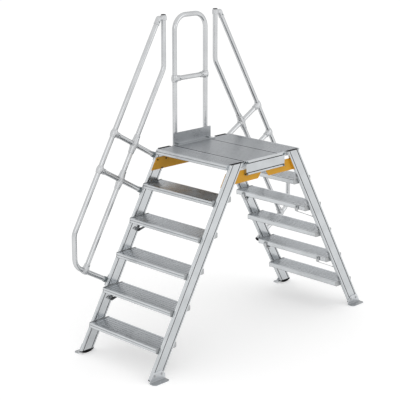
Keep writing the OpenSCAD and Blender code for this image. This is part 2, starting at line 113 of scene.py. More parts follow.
def seen_directly(nodes, links):
    """1 for rays from the camera, or by way of metal or glass, and 0 for soft light."""
    path = nodes.new("ShaderNodeLightPath")
    first = nodes.new("ShaderNodeMath")
    first.operation = "MAXIMUM"
    links.new(path.outputs["Is Camera Ray"], first.inputs[0])
    links.new(path.outputs["Is Glossy Ray"], first.inputs[1])
    both = nodes.new("ShaderNodeMath")
    both.operation = "MAXIMUM"
    links.new(first.outputs[0], both.inputs[0])
    links.new(path.outputs["Is Transmission Ray"], both.inputs[1])
    return both.outputs[0]


def make_world():
    """White surroundings, with a softer level for the light they give."""
    world = bpy.data.worlds.new("studio")
    bpy.context.scene.world = world
    world.use_nodes = True
    nodes, links = world.node_tree.nodes, world.node_tree.links
    nodes.clear()
    soft = nodes.new("ShaderNodeBackground")
    soft.inputs["Strength"].default_value = 0.85
    plain = nodes.new("ShaderNodeBackground")
    plain.inputs["Strength"].default_value = 1.0
    for n in (soft, plain):
        n.inputs["Color"].default_value = (1, 1, 1, 1)
    mix = nodes.new("ShaderNodeMixShader")
    links.new(seen_directly(nodes, links), mix.inputs[0])
    links.new(soft.outputs[0], mix.inputs[1])
    links.new(plain.outputs[0], mix.inputs[2])
    out = nodes.new("ShaderNodeOutputWorld")
    links.new(mix.outputs[0], out.inputs["Surface"])


def make_floor():
    """Plain pale floor that keeps the platform's soft shadow."""
    bm = bmesh.new()
    bmesh.ops.create_grid(bm, x_segments=1, y_segments=1, size=90)
    mesh = bpy.data.meshes.new("floor")
    bm.to_mesh(mesh)
    bm.free()
    floor = bpy.data.objects.new("floor", mesh)
    bpy.context.scene.collection.objects.link(floor)
    floor.location.z = -0.0005
    mat = bpy.data.materials.new("floor_white")
    mat.use_nodes = True
    nodes, links = mat.node_tree.nodes, mat.node_tree.links
    nodes.clear()
    matt = nodes.new("ShaderNodeBsdfDiffuse")
    matt.inputs["Color"].default_value = (0.8, 0.8, 0.8, 1)
    glow = nodes.new("ShaderNodeEmission")
    glow.inputs["Strength"].default_value = 0.36
    dark = nodes.new("ShaderNodeEmission")
    dark.inputs["Strength"].default_value = 0.0
    lift = nodes.new("ShaderNodeMixShader")
    links.new(seen_directly(nodes, links), lift.inputs[0])
    links.new(dark.outputs[0], lift.inputs[1])
    links.new(glow.outputs[0], lift.inputs[2])
    add = nodes.new("ShaderNodeAddShader")
    links.new(matt.outputs[0], add.inputs[0])
    links.new(lift.outputs[0], add.inputs[1])
    out = nodes.new("ShaderNodeOutputMaterial")
    links.new(add.outputs[0], out.inputs["Surface"])
    mesh.materials.append(mat)


bpy.context.scene.view_settings.view_transform = "Standard"
place_camera()
make_world()
make_floor()
area_lamp("key_lamp", (-5.0, -3.2, 4.2), 3.0, 20)
area_lamp("fill_lamp", (3.2, -5.5, 3.4), 3.0, 24)

# ---- Materials ----


class Finish:
    """Node tree of one material, read in object coordinates."""

    def __init__(self, name, color, metallic, roughness):
        self.mat = bpy.data.materials.new(name)
        self.mat.use_nodes = True
        self.nodes, self.links = self.mat.node_tree.nodes, self.mat.node_tree.links
        self.bsdf = self.nodes["Principled BSDF"]
        self.bsdf.inputs["Metallic"].default_value = metallic
        self.mat.diffuse_color = (*color, 1)
        self.color, self.roughness = color, roughness
        self.place = self.nodes.new("ShaderNodeTexCoord").outputs["Object"]
        self.height = None

    def mapped(self, scale, turn=(0, 0, 0)):
        """Object coordinates, turned and then scaled."""
        turned = self.nodes.new("ShaderNodeMapping")
        turned.vector_type = "POINT"
        turned.inputs["Rotation"].default_value = turn
        self.links.new(self.place, turned.inputs["Vector"])
        scaled = self.nodes.new("ShaderNodeMapping")
        scaled.inputs["Scale"].default_value = scale
        self.links.new(turned.outputs[0], scaled.inputs["Vector"])
        return scaled.outputs[0]

    def noise(self, scale, detail=3.0, stretch=(1, 1, 1), turn=(0, 0, 0)):
        n = self.nodes.new("ShaderNodeTexNoise")
        n.inputs["Scale"].default_value = scale
        n.inputs["Detail"].default_value = detail
        self.links.new(self.mapped(stretch, turn), n.inputs["Vector"])
        return n.outputs["Fac"]

    def remap(self, value, low, high, start=0.3, end=0.7):
        r = self.nodes.new("ShaderNodeMapRange")
        r.inputs["From Min"].default_value = start
        r.inputs["From Max"].default_value = end
        r.inputs["To Min"].default_value = low
        r.inputs["To Max"].default_value = high
        self.links.new(value, r.inputs["Value"])
        return r.outputs["Result"]

    def math(self, kind, a, b):
        m = self.nodes.new("ShaderNodeMath")
        m.operation = kind
        for k, v in enumerate((a, b)):
            if isinstance(v, (int, float)):
                m.inputs[k].default_value = v
            else:
                self.links.new(v, m.inputs[k])
        return m.outputs[0]

    def tint(self, factor, color_a, color_b):
        """Colour between two, by a factor from 0 to 1."""
        m = self.nodes.new("ShaderNodeMix")
        m.data_type = "RGBA"
        self.links.new(factor, m.inputs["Factor"])
        for socket, c in ((6, color_a), (7, color_b)):
            if isinstance(c, tuple):
                m.inputs[socket].default_value = (*c, 1)
            else:
                self.links.new(c, m.inputs[socket])
        return m.outputs[2]

    def edges(self, radius):
        """1 along the rounded edges and 0 on the flats."""
        bevel = self.nodes.new("ShaderNodeBevel")
        bevel.samples = 4
        bevel.inputs["Radius"].default_value = radius
        geo = self.nodes.new("ShaderNodeNewGeometry")
        dot = self.nodes.new("ShaderNodeVectorMath")
        dot.operation = "DOT_PRODUCT"
        self.links.new(bevel.outputs["Normal"], dot.inputs[0])
        self.links.new(geo.outputs["Normal"], dot.inputs[1])
        return self.remap(dot.outputs["Value"], 1.0, 0.0, 0.80, 0.99)

    def bump(self, value, distance, strength=1.0):
        b = self.nodes.new("ShaderNodeBump")
        b.inputs["Strength"].default_value = strength
        b.inputs["Distance"].default_value = distance
        self.links.new(value, b.inputs["Height"])
        if self.height is not None:
            self.links.new(self.height, b.inputs["Normal"])
        self.height = b.outputs["Normal"]
        self.links.new(self.height, self.bsdf.inputs["Normal"])


def shade(color, factor):
    """A colour made darker or brighter."""
    return tuple(min(1.0, c * factor) for c in color)


def metal(name, color, roughness, grain=None, turn=(0, 0, 0), grain_depth=0.00004, spread=0.08,
          edge=1.12, fine=900.0, rim=1.0):
    """Bare metal: cloudy tone, drawn or rolled grain, brighter worn edges."""
    f = Finish(name, color, 1.0, roughness)
    f.bsdf.inputs["Specular Tint"].default_value = (rim, rim, rim, 1)
    cloud = f.noise(7.0, 4.0, turn=turn)
    if grain:
        lines = f.noise(fine, 2.0, stretch=grain, turn=turn)
    else:
        lines = f.noise(fine, 3.0)
    mixed = f.math("ADD", f.math("MULTIPLY", cloud, 0.6), f.math("MULTIPLY", lines, 0.4))
    tone = f.tint(f.remap(mixed, 0.0, 1.0, 0.35, 0.65),
                  shade(color, 1 - spread), shade(color, 1 + spread))
    tone = f.tint(f.edges(0.0016), tone, shade(color, edge))
    f.links.new(tone, f.bsdf.inputs["Base Color"])
    uneven = f.remap(mixed, roughness - 0.05, roughness + 0.07, 0.35, 0.65)
    f.links.new(uneven, f.bsdf.inputs["Roughness"])
    f.bump(lines, grain_depth)
    return f.mat


def coated(name, color, roughness=0.42):
    """Powder coat: orange peel, fine speckle and a little wear on the edges."""
    f = Finish(name, color, 0.0, roughness)
    f.bsdf.inputs["Specular IOR Level"].default_value = 0.3
    peel = f.noise(420.0, 2.0)
    speckle = f.noise(2600.0, 1.0)
    cloud = f.noise(9.0, 3.0)
    mixed = f.math("ADD", f.math("MULTIPLY", cloud, 0.5), f.math("MULTIPLY", speckle, 0.5))
    tone = f.tint(f.remap(mixed, 0.0, 1.0, 0.35, 0.65), shade(color, 0.93), shade(color, 1.06))
    tone = f.tint(f.edges(0.0010), tone, shade(color, 1.25))
    f.links.new(tone, f.bsdf.inputs["Base Color"])
    f.links.new(f.remap(cloud, roughness - 0.05, roughness + 0.08), f.bsdf.inputs["Roughness"])
    f.bump(peel, 0.00012)
    return f.mat


def plastic(name, color, roughness=0.5):
    """Moulded plastic: fine grain and paler rubbed edges."""
    f = Finish(name, color, 0.0, roughness)
    f.bsdf.inputs["Specular IOR Level"].default_value = 0.05
    grain = f.noise(1500.0, 2.0)
    cloud = f.noise(25.0, 3.0)
    tone = f.tint(f.remap(cloud, 0.0, 1.0), shade(color, 0.8), shade(color, 1.3))
    tone = f.tint(f.edges(0.0012), tone, shade(color, 2.2))
    f.links.new(tone, f.bsdf.inputs["Base Color"])
    f.links.new(f.remap(grain, roughness - 0.06, roughness + 0.1), f.bsdf.inputs["Roughness"])
    f.bump(grain, 0.00010)
    return f.mat


left_slope, right_slope = (0, -math.radians(30), 0), (0, math.radians(30), 0)
# The second colour is near black: painted shade in the grooves of stringers and beams.
PROFILE, SHADE_IN_GROOVES = (0.56, 0.58, 0.595), (0.03, 0.031, 0.033)

profile_left = metal("profile_aluminium_left", PROFILE, 0.19, (1, 1, 0.01), left_slope)
profile_right = metal("profile_aluminium_right", PROFILE, 0.19, (1, 1, 0.01), right_slope)
profile_level = metal("profile_aluminium_level", PROFILE, 0.34, (0.01, 1, 1))
groove_painted_shade = metal("profile_painted_groove_shade", SHADE_IN_GROOVES, 0.5)
tread_side = metal("tread_aluminium_side", (0.60, 0.62, 0.635), 0.30, (1, 0.01, 1))
# Tops of treads are darker than their sides: painted shade on faces turned up, away from the light.
tread_upper_painted_shade = metal("tread_aluminium_upper_painted_shade", (0.50, 0.522, 0.545), 0.30, (1, 0.01, 1))
# Darker tone in the tread grooves and under the nose bead: painted shade in the recesses.
tread_recess_painted_shade = metal("tread_recess_painted_shade", (0.31, 0.325, 0.34), 0.42, (1, 0.01, 1))
# Near-black undersides of treads and planks: painted shade under them.
tread_lower_painted_shade = metal("tread_aluminium_lower_painted_shade", (0.13, 0.134, 0.138), 0.45, (1, 0.01, 1))
# The deck's top is darker as well: painted shade on a face turned up.
deck_upper_painted_shade = metal("deck_aluminium_upper_painted_shade", (0.352, 0.370, 0.392), 0.30, (1, 0.01, 1))
# Darker tone in the deck's grooves: painted shade in the recesses.
deck_recess_painted_shade = metal("deck_recess_painted_shade", (0.27, 0.28, 0.29), 0.42, (1, 0.01, 1))
sheet = metal("sheet_aluminium", (0.62, 0.64, 0.66), 0.36, (1, 0.02, 0.3))
tube_metal = metal("tube_aluminium", (0.58, 0.59, 0.60), 0.20, fine=500.0, grain_depth=0.00001,
                   rim=0.45)
cast_metal = metal("cast_fittings", (0.57, 0.58, 0.59), 0.36, fine=700.0, grain_depth=0.00006, rim=0.75)
bolt_dark = metal("bolt_dark", (0.07, 0.058, 0.04), 0.4, fine=900.0, spread=0.2, edge=1.3)
zinc = metal("zinc_steel", (0.20, 0.225, 0.235), 0.32, fine=900.0, spread=0.2, edge=1.5)
gusset_coat = coated("gusset_coating", (0.70, 0.35, 0.018))
# Near black for the rounded plank edges at a joint: painted shadow of the gap between planks.
joint_painted_shade = plastic("deck_gap_painted_shadow", (0.03, 0.03, 0.032), 0.7)
liner_grey = plastic("liner_plastic", (0.17, 0.20, 0.21), 0.55)
black = plastic("black_plastic", (0.012, 0.012, 0.013), 0.55)
end_grey = metal("end_plate_aluminium", (0.45, 0.46, 0.465), 0.45, fine=900.0)
# Two tones of one strap: the tab lighter as painted light, the arm darker as painted shade.
brace_lit_tab_tone = metal("brace_tab_painted_light", (0.50, 0.51, 0.52), 0.40, (1, 0.1, 1))
brace_shaded_arm_tone = metal("brace_arm_painted_shade", (0.42, 0.43, 0.44), 0.45, fine=700.0)
# Darker copy of the bracket sheet for the foot: painted shade on faces turned up.
foot_painted_shade = metal("foot_alu_painted_shade", (0.36, 0.37, 0.38), 0.40, (1, 0.02, 1))
board_sheet = metal("toe_board_aluminium", (0.415, 0.43, 0.445), 0.30, (0.02, 1, 1))
clamp_metal = metal("clamp_aluminium", (0.50, 0.51, 0.52), 0.40, fine=700.0)

# ---- Shared shapes ----

FLIP_X = Matrix.Scale(-1, 4, (1, 0, 0))
FLIP_Y = Matrix.Scale(-1, 4, (0, 1, 0))
STAY = Matrix.Identity(4)
FLIGHTS = {"left": STAY, "right": FLIP_X}
SIDES = {"far": STAY, "near": FLIP_Y}
BOTH_SIDES = (STAY, FLIP_Y)
BOTH_FLIGHTS = (STAY, FLIP_X)
ALL_FOUR = (STAY, FLIP_X, FLIP_Y, FLIP_X @ FLIP_Y)


def verts_in(geom):
    return [v for v in geom if isinstance(v, bmesh.types.BMVert)]


def grow(bm, faces, run):
    """Carries faces along a vector, with walls behind them."""
    new = bmesh.ops.extrude_face_region(bm, geom=faces)["geom"]
    bmesh.ops.translate(bm, vec=run, verts=verts_in(new))
    return new


def round_corners(bm, corners):
    """Rounds the flat corners in a list of (vertex, radius)."""
    for radius in sorted({r for _, r in corners if r}):
        bmesh.ops.bevel(bm, geom=[v for v, r in corners if r == radius], offset=radius,
                        affect="VERTICES", segments=1 if radius < 0.9 * MM else 4, profile=0.5,
                        material=-1)


def soften(bm, width, segments=2, angle=50):
    """Rounds every edge where two faces meet at more than an angle in degrees."""
    edges = [e for e in bm.edges
             if len(e.link_faces) == 2 and e.calc_face_angle(0) > math.radians(angle)]
    bmesh.ops.bevel(bm, geom=edges, offset=width, affect="EDGES", segments=segments, profile=0.5,
                    material=-1, clamp_overlap=True)


def prism(corners, place, run, edge=0.0):
    """Closed bar: an outline of (a, b, corner radius) carried along a vector."""
    bm = bmesh.new()
    verts = [(bm.verts.new(place(a, b)), r) for a, b, r in corners]
    bm.faces.new([v for v, _ in verts])
    round_corners(bm, verts)
    grow(bm, bm.faces[:], run)
    bmesh.ops.recalc_face_normals(bm, faces=bm.faces)
    if edge:
        soften(bm, edge)
    return bm


def block(low, high, edge=0.0):
    """Box between two corners with rounded edges."""
    low, high = Vector(low), Vector(high)
    bm = bmesh.new()
    bmesh.ops.create_cube(bm, size=1)
    bmesh.ops.scale(bm, vec=high - low, verts=bm.verts)
    bmesh.ops.translate(bm, vec=(low + high) / 2, verts=bm.verts)
    if edge:
        soften(bm, edge)
    return bm


def aimed(at, along):
    """Transform that puts the origin at a point and the z axis along a direction."""
    return Matrix.Translation(at) @ Vector(along).to_track_quat("Z", "Y").to_matrix().to_4x4()


def turned(profile, at, along, steps=32, ring=False):
    """Round piece turned from corners of (radius, height) about a line."""
    bm = bmesh.new()
    verts = [bm.verts.new((r, 0, h)) for r, h in profile]
    for a, b in zip(verts, verts[1:] + verts[:1] if ring else verts[1:]):
        bm.edges.new((a, b))
    bmesh.ops.spin(bm, geom=bm.verts[:] + bm.edges[:], cent=(0, 0, 0), axis=(0, 0, 1),
                   angle=2 * math.pi, steps=steps, use_merge=True)
    bmesh.ops.remove_doubles(bm, verts=bm.verts, dist=0.00001)
    bmesh.ops.recalc_face_normals(bm, faces=bm.faces)
    bmesh.ops.transform(bm, matrix=aimed(at, along), verts=bm.verts)
    return bm


def bent_tube(path, bend, radius=rail_r, sides=36):
    """Closed round bar along a path with a round bend at each inner point."""
    bm = bmesh.new()
    place, ahead = path[0], (path[1] - path[0]).normalized()
    bmesh.ops.create_circle(bm, cap_ends=True, segments=sides, radius=radius,
                            matrix=aimed(place, ahead))
    end = bm.faces[:][0]
    for i in range(1, len(path)):
        inner = i < len(path) - 1
        nxt = (path[i + 1] - path[i]).normalized() if inner else ahead
        turn = ahead.angle(nxt) if inner else 0.0
        stop = path[i] - ahead * (bend * math.tan(turn / 2))
        new = grow(bm, [end], stop - place)
        end = [f for f in new if isinstance(f, bmesh.types.BMFace)][0]
        place = stop
        if inner:
            axis = ahead.cross(nxt).normalized()
            centre = place + axis.cross(ahead) * bend
            steps = max(4, round(math.degrees(turn) / 6))
            spun = bmesh.ops.spin(bm, geom=[end] + end.edges[:] + end.verts[:], cent=centre, axis=axis,
                                  angle=turn, steps=steps)
            end = [f for f in spun["geom_last"] if isinstance(f, bmesh.types.BMFace)][0]
            place = path[i] + nxt * (bend * math.tan(turn / 2))
            ahead = nxt
    bmesh.ops.recalc_face_normals(bm, faces=bm.faces)
    return bm


def folded_sheet(leaves, thickness, fold=6 * MM, corner=3 * MM, edge=0.8 * MM):
    """Bent sheet: flat leaves, as lists of points that share their fold lines, given a thickness."""
    bm = bmesh.new()
    for leaf in leaves:
        bm.faces.new([bm.verts.new(p) for p in leaf])
    bmesh.ops.remove_doubles(bm, verts=bm.verts, dist=0.0001)
    bmesh.ops.recalc_face_normals(bm, faces=bm.faces)
    round_corners(bm, [(v, corner) for v in bm.verts if len(v.link_faces) == 1])
    folds = [e for e in bm.edges if len(e.link_faces) == 2]
    if folds:
        bmesh.ops.bevel(bm, geom=folds, offset=fold, affect="EDGES", segments=5, profile=0.5,
                        material=-1)
    bmesh.ops.solidify(bm, geom=bm.verts[:] + bm.edges[:] + bm.faces[:], thickness=thickness)
    bmesh.ops.recalc_face_normals(bm, faces=bm.faces)
    soften(bm, edge, segments=1, angle=70)
    return bm


def as_object(bm):
    mesh = bpy.data.meshes.new("blank")
    bm.to_mesh(mesh)
    obj = bpy.data.objects.new("blank", mesh)
    bpy.context.scene.collection.objects.link(obj)
    return obj


def shaped(obj, *others):
    """Mesh of an object after its modifiers; the helper objects are removed."""
    graph = bpy.context.evaluated_depsgraph_get()
    mesh = bpy.data.meshes.new_from_object(obj.evaluated_get(graph))
    bm = bmesh.new()
    bm.from_mesh(mesh)
    for o in (obj, *others):
        bpy.data.objects.remove(o)
    return bm


def cut(bm, cutter):
    """A shape with another taken away from it."""
    obj, tool = as_object(bm), as_object(cutter)
    away = obj.modifiers.new("cut", "BOOLEAN")
    away.operation, away.solver, away.object = "DIFFERENCE", "EXACT", tool
    return shaped(obj, tool)


def together(parts):
    """Several shapes in one mesh; each is a shape, or a shape with its finish and its places."""
    bm = bmesh.new()
    for part in parts:
        shape, finish, places = part if isinstance(part, tuple) else (part, 0, (STAY,))
        if finish is not None:
            for f in shape.faces:
                f.material_index = finish
        for place in places:
            mesh = bpy.data.meshes.new("part")
            shape.to_mesh(mesh)
            mesh.transform(place)
            if place.is_negative:
                mesh.flip_normals()
            bm.from_mesh(mesh)
            bpy.data.meshes.remove(mesh)
    return bm


def casting(shapes, grain=1.8 * MM, rounds=5):
    """Smooth casting made of overlapping round shapes."""
    obj = as_object(together(shapes))
    skin = obj.modifiers.new("skin", "REMESH")
    skin.mode, skin.voxel_size = "VOXEL", grain
    blend = obj.modifiers.new("blend", "SMOOTH")
    blend.factor, blend.iterations = 0.5, rounds
    return shaped(obj)


def show(name, bm, nodes, finishes, sharp=33):
    """Puts a finished piece in the scene in place of the nodes it stands for."""
    for f in bm.faces:
        f.smooth = True
    for e in bm.edges:
        e.smooth = not (len(e.link_faces) == 2 and e.calc_face_angle(0) > math.radians(sharp))
    mesh = bpy.data.meshes.new(name)
    bm.to_mesh(mesh)
    for m in finishes:
        mesh.materials.append(m)
    obj = bpy.data.objects.new(name, mesh)
    bpy.context.scene.collection.objects.link(obj)
    even = obj.modifiers.new("even_shading", "WEIGHTED_NORMAL")
    even.keep_sharp = True
    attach(obj, "root")
    if nodes:
        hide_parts(*nodes)
    return obj


def hex_bolt(at, out, across=13 * MM):
    """Hexagon head on a washer, standing on a face at a point."""
    r = across / math.sqrt(3)
    head = bmesh.new()
    bmesh.ops.create_cone(head, cap_ends=True, segments=6, radius1=r, radius2=r, depth=5.5 * MM)
    top = max(head.faces, key=lambda f: f.calc_center_median().z)
    bmesh.ops.bevel(head, geom=top.edges[:], offset=0.8 * MM, affect="EDGES", segments=1, profile=0.5,
                    material=-1)
    bmesh.ops.translate(head, vec=(0, 0, 4.2 * MM), verts=head.verts)
    bmesh.ops.transform(head, matrix=aimed(at, out), verts=head.verts)
    w = 1.3 * r
    washer = turned([(0, 0), (w, 0), (w, 1.2 * MM), (w - 0.5 * MM, 1.6 * MM), (0, 1.6 * MM)],
                    at, out, 24)
    return together([head, washer])


# ---- Stringers and beams ----

HALF_THICK = (outer_y - inner_y) / 2
mid_y = (outer_y + inner_y) / 2


def profile_section(depth):
    """Section of the stringer profile: bead, groove and web on both faces, a fine line in each edge."""
    h, floor, web = HALF_THICK, HALF_THICK - 4.5 * MM, HALF_THICK - 0.6 * MM
    front = [(0, h, 4 * MM), (15.5 * MM, h, 1.2 * MM), (15.5 * MM, floor, 0), (22 * MM, floor, 0),
             (22 * MM, web, 1.2 * MM)]
    upper = front + [(depth - a, b, r) for a, b, r in reversed(front)]
    lower = [(a, -b, r) for a, b, r in reversed(upper)]
    line = [(0, -1.4 * MM, 0), (1 * MM, 0, 0), (0, 1.4 * MM, 0)]
    return upper + [(depth - a, b, r) for a, b, r in reversed(line)] + lower + line


def mark_grooves(bm, across, depth=stringer_depth):
    """Gives a profile's grooves a near-black finish, painted shade in the recesses; across gives a
    face's place from the front edge.
    """
    groove_at = 19 * MM
    for f in bm.faces:
        c = f.calc_center_median()
        a, b = across(c), abs(c.y - mid_y)
        from_groove = min(abs(a - groove_at), abs(a - depth + groove_at))
        f.material_index = 1 if 5 * MM < b < HALF_THICK - 0.9 * MM and from_groove < 4.5 * MM else 0


def stringer():
    """Stringer profile of the far left, cut level at both ends."""
    run = Vector((front_x(stringer_low) - front_x(stringer_top), 0, stringer_top - stringer_low))
    bm = prism(profile_section(stringer_depth),
               lambda a, b: (a / sin_s - front_x(stringer_low), mid_y + b, stringer_low), run)
    mark_grooves(bm, lambda c: (c.x + front_x(c.z)) * sin_s)
    return bm


def side_beam():
    """Edge beam of the deck, with the two small chambers open at each end."""
    hole_depth, wall = 40 * MM, 5 * MM
    bar = prism(profile_section(stringer_depth), lambda a, b: (-beam_half, mid_y + b, deck_z - a),
                Vector((2 * beam_half, 0, 0)))
    mark_grooves(bar, lambda c: deck_z - c.z)
    chambers = ((14 * MM, 3.5 * MM), (stringer_depth - 3.5 * MM, stringer_depth - 14 * MM))
    holes = together([block((s * beam_half - hole_depth, inner_y + wall, deck_z - low),
                            (s * beam_half + hole_depth, outer_y - wall, deck_z - high))
                      for s in (-1, 1) for low, high in chambers])
    return cut(bar, holes)


for side, over in SIDES.items():
    for flight, across in FLIGHTS.items():
        finish = profile_left if flight == "left" else profile_right
        show(f"{side}_{flight}_stringer_profile", together([(stringer(), None, (over @ across,))]),
             [f"{side}_{flight}_stringer"], [finish, groove_painted_shade])
    show(f"{side}_side_beam_profile", together([(side_beam(), None, (over,))]), [f"{side}_side_beam"],
         [profile_level, groove_painted_shade])

# ---- Treads and deck ----


def mark_walk(bm, top, start, end):
    """Finishes of a tread between two x: 0 edges in the plain tone, 1 walking surface darkened as
    painted shade, 2 grooves and the recess under the bead darker as painted shade, 3 underside near
    black as painted shade.
    """
    for f in bm.faces:
        c, n = f.calc_center_median(), f.normal
        low = top - c.z
        inside = start + 8 * MM < c.x < end - 7 * MM
        under_bead = 15 * MM < low < 19 * MM and start + 1.5 * MM < c.x < end - 1.5 * MM
        if abs(n.y) > 0.9:
            f.material_index = 0
        elif n.z > 0.9 and low < 0.15 * MM:
            f.material_index = 1
        elif inside and low < 3 * MM or under_bead:
            f.material_index = 2
        else:
            f.material_index = 3 if n.z < -0.5 else 0


def ribbed_top(start, end, depth, band=30 * MM, groove=2.8 * MM, step=6.6 * MM):
    """Corners of fine grooves in threes, with a flat land between the groups."""
    count = int((end - start + 14 * MM) / band)
    first = (start + end - count * band + 15 * MM) / 2
    corners = []
    for i in range(count):
        for j in range(3):
            a = first + i * band + j * step
            corners += [(a, 0, 0.4 * MM), (a + 0.3 * MM, -depth, 0), (a + groove - 0.3 * MM, -depth, 0),
                        (a + groove, 0, 0.4 * MM)]
    return corners


def nose():
    """Front of a tread: a bead with a groove below it, and a set-back lower face."""
    return [(1.8 * MM, -tread_thickness, 5 * MM), (1.8 * MM, -19 * MM, 0.6 * MM),
            (4.5 * MM, -18.5 * MM, 0), (4.5 * MM, -15.5 * MM, 0), (0, -14.5 * MM, 2 * MM),
            (0, 0, 6 * MM)]


def tread(n):
    """Ribbed tread with a shallow hollow in its underside."""
    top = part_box(f"left_tread_{n}")[1].z
    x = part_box(f"left_tread_{n}")[0].x
    front_lip, back_lip, hollow = 14 * MM, 12 * MM, 4 * MM
    corners = nose() + ribbed_top(20 * MM, tread_depth - 14 * MM, 1.6 * MM)
    corners += [(tread_depth, 0, 5 * MM), (tread_depth, -tread_thickness, 6 * MM),
                (tread_depth - back_lip, -tread_thickness, 1 * MM),
                (tread_depth - back_lip, hollow - tread_thickness, 1 * MM),
                (front_lip, hollow - tread_thickness, 1 * MM), (front_lip, -tread_thickness, 1 * MM)]
    bm = prism(corners, lambda a, b: (x + a, -plate_y, top + b), Vector((0, 2 * plate_y, 0)))
    mark_walk(bm, top, x, x + tread_depth)
    return bm


for flight, across in FLIGHTS.items():
    for n in range(1, 6):
        show(f"{flight}_tread_{n}_profile", together([(tread(n), None, (across,))]),
             [f"{flight}_tread_{n}"],
             [tread_side, tread_upper_painted_shade, tread_recess_painted_shade, tread_lower_painted_shade])


def deck_plank(node, left_nose, right_nose):
    """Plank with a nose at a flight and a rounded edge at a joint, painted near black as the shadow in
    the gap.
    """
    low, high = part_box(node)
    width = high.x - low.x
    joint_edge, rib_margin, plain_edge = 6 * MM, 22 * MM, 9 * MM
    joint = [(0, -tread_thickness, 4 * MM), (0, 0, joint_edge)]
    left = nose() if left_nose else joint
    right = nose() if right_nose else joint
    corners = left + ribbed_top(rib_margin, width - rib_margin, 0.6 * MM)
    corners += [(width - a, b, r) for a, b, r in reversed(right)]
    bm = prism(corners, lambda a, b: (low.x + a, low.y, deck_z + b), Vector((0, high.y - low.y, 0)))
    mark_walk(bm, deck_z, low.x - (0 if left_nose else plain_edge),
              high.x + (0 if right_nose else plain_edge))
    # Rounded edges at a joint take finish 4, near black as painted shadow of the gap.
    for f in bm.faces:
        x = f.calc_center_median().x
        if not left_nose and x < low.x + joint_edge or not right_nose and x > high.x - joint_edge:
            f.material_index = 4
    show(f"{node}_profile", bm, [node],
         [tread_side, deck_upper_painted_shade, deck_recess_painted_shade, tread_lower_painted_shade, joint_painted_shade])


deck_plank("left_deck_plank", True, False)
deck_plank("middle_deck_plank", False, False)
deck_plank("right_deck_plank", False, True)


def end_plate(n):
    """Plate on the far end of tread n, with a raised rim on both faces."""
    top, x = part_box(f"left_tread_{n}")[1].z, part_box(f"left_tread_{n}")[0].x
    lip = 4 * MM
    corners = [(0, lip, 10 * MM), (tread_depth, lip, 10 * MM),
               (tread_depth, -tread_thickness - lip, 10 * MM), (0, -tread_thickness - lip, 10 * MM)]
    bm = prism(corners, lambda a, b: (x + a, plate_y, top + b), Vector((0, inner_y - plate_y, 0)))
    for out in (-1, 1):
        face = max(bm.faces, key=lambda f: f.calc_center_median().y * out)
        bmesh.ops.inset_region(bm, faces=[face], thickness=3.2 * MM, depth=-1.4 * MM)
    soften(bm, 0.5 * MM, 1, 70)
    return bm


def brace(n):
    """Bent strap of the far side under tread n, with its two bolts."""
    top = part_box(f"left_tread_{n}")[1].z
    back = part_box(f"left_tread_{n}")[1].x
    t, width, inset, drop = 4 * MM, 35 * MM, 70 * MM, 17 * MM
    slant, low = math.radians(25), top - tread_thickness - drop
    tab = (inner_y - inset - width, inner_y - inset)
    far_run, near_run, shoulder = 163 * MM, 127 * MM, inner_y - 28 * MM
    tab_top, bolt_z = top - 9 * MM, top - 18 * MM
    lean = off_slope * (49 * MM)

    def on_arm(run, y):
        return Vector((back + t - run * math.cos(slant), y, low + t - run * math.sin(slant)))

    folds = [on_arm(far_run, inner_y - t), on_arm(near_run, inner_y - t)]
    arm = [on_arm(0, tab[0]), on_arm(0, tab[1]), folds[1], folds[0], on_arm(far_run, shoulder),
           on_arm(far_run / 2, (shoulder + tab[1]) / 2)]
    strap = folded_sheet([
        [arm[0], arm[1], Vector((back + t, tab[1], tab_top)), Vector((back + t, tab[0], tab_top))],
        arm, [folds[0], folds[1], folds[1] + lean, folds[0] + lean]], -t, 6 * MM, 5 * MM, 0.6 * MM)
    # The tab takes the lighter tone 0 as painted light, the arm the darker tone 1 as painted shade for
    # its underside in shadow.
    for f in strap.faces:
        f.material_index = 0 if f.calc_center_median().x > back - 2 * MM else 1
    middle = (folds[0] + folds[1] + lean) / 2
    bolts = [hex_bolt(middle, (0, -1, 0), 15 * MM),
             hex_bolt(Vector((back + t, (tab[0] + tab[1]) / 2, bolt_z)), (1, 0, 0))]
    return strap, together(bolts)


for flight, across in FLIGHTS.items():
    places = [across @ over for over in BOTH_SIDES]
    show(f"{flight}_tread_end_plates_rimmed",
         together([(end_plate(n), 0, places) for n in range(1, 6)]),
         [f"{flight}_tread_end_plates"], [end_grey])
    straps = [brace(n) for n in (2, 4)]
    show(f"{flight}_tread_braces_bent", together([(s, None, places) for s, _ in straps]),
         [f"{flight}_tread_braces"], [brace_lit_tab_tone, brace_shaded_arm_tone])
    show(f"{flight}_brace_bolts", together([(b, 0, places) for _, b in straps]), [],
         [zinc])

# ---- Gussets, caps, shoes and floor brackets ----


gusset_t = 4 * MM


def gusset():
    """Far left gusset: plate beside the deck and a flange on the stringer's back edge."""
    high, low = deck_z - 69 * MM, deck_z - 171 * MM
    tip, heel = -21 * MM, -64 * MM
    plate = prism([(-front_x(high), high, 0), (tip, high, 3 * MM),
                   (tip, deck_z - stringer_depth, 6 * MM), (heel, low, 6 * MM),
                   (-front_x(low), low, 4 * MM)],
                  lambda a, b: (a, inner_y - gusset_t, b), Vector((0, gusset_t, 0)), 0.7 * MM)
    back, thick = stringer_depth / sin_s, gusset_t / sin_s
    flange = prism([(back - front_x(high), high, 0), (back + thick - front_x(high), high, 0),
                    (back + thick - front_x(low), low, 0), (back - front_x(low), low, 0)],
                   lambda a, b: (a, inner_y - gusset_t, b), Vector((0, 24 * MM, 0)), 0.9 * MM)
    return together([plate, flange])


